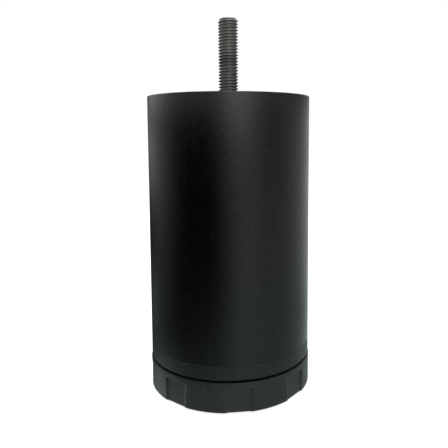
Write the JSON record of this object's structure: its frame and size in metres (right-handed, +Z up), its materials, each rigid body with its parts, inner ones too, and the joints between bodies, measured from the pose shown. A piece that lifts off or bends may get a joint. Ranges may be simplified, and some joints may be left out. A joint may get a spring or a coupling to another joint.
{
  "type": "adjustable furniture leg",
  "caption": "Round black furniture leg with a threaded mounting stud on top and a hand-turned levelling foot below, which screws out of the leg.",
  "frame": {"origin": "centre of the pad's underside, where the foot stands on the floor, with the foot screwed home", "axes": "+Z up along the leg's axis, out through the mounting stud; -Y towards the viewer's side, +X to that viewer's right"},
  "size_m": [0.0804, 0.0804, 0.1817],
  "materials": {
    "black_anodised": "satin black anodised, fine extrusion grain",
    "black_coated_steel": "matte black powder coat",
    "black_oxide_steel": "black oxide, slightly oily",
    "stud_steel": "dark grey phosphated steel thread",
    "zinc_steel": "bright zinc plate",
    "spindle_steel": "bright zinc plate, rolled thread",
    "collar_plastic": "fine-textured moulded black nylon",
    "knob_plastic": "fine-textured moulded black nylon",
    "disc_plastic": "smooth moulded black nylon",
    "slip_plastic": "natural acetal",
    "pad_rubber": "matte black rubber",
    "bush_brass": "turned brass"
  },
  "bodies": {
    "leg": {"leg_tube": "black_anodised", "top_plate": "black_coated_steel", "top_plate_screws": "black_oxide_steel", "mounting_stud": "stud_steel", "stud_plain_washer": "zinc_steel", "stud_spring_washer": "zinc_steel", "bottom_collar": "collar_plastic", "collar_screws": "zinc_steel", "threaded_bush": "bush_brass"},
    "glide": {"glide_disc": "disc_plastic", "thrust_ring": "slip_plastic", "glide_pad": "pad_rubber"},
    "foot": {"foot_knob": "knob_plastic", "spindle": "spindle_steel", "spindle_washer": "zinc_steel", "jam_nut": "zinc_steel", "stop_ring": "black_oxide_steel", "pivot_screw": "zinc_steel"}
  },
  "joints": [
    {"name": "foot_height", "type": "slide", "parent": "leg", "child": "glide", "axis": [0, 0, -1], "range_m": [0, 0.0201]},
    {"name": "foot_turn", "type": "hinge", "parent": "glide", "child": "foot", "pos_m": [0, 0, 0], "axis": [0, 0, -1], "range_deg": [0, 4114.29]}
  ],
  "couplings": [
    {"joint": "foot_height", "follows": "foot_turn", "m_per_rad": 0.00027852}
  ]
}
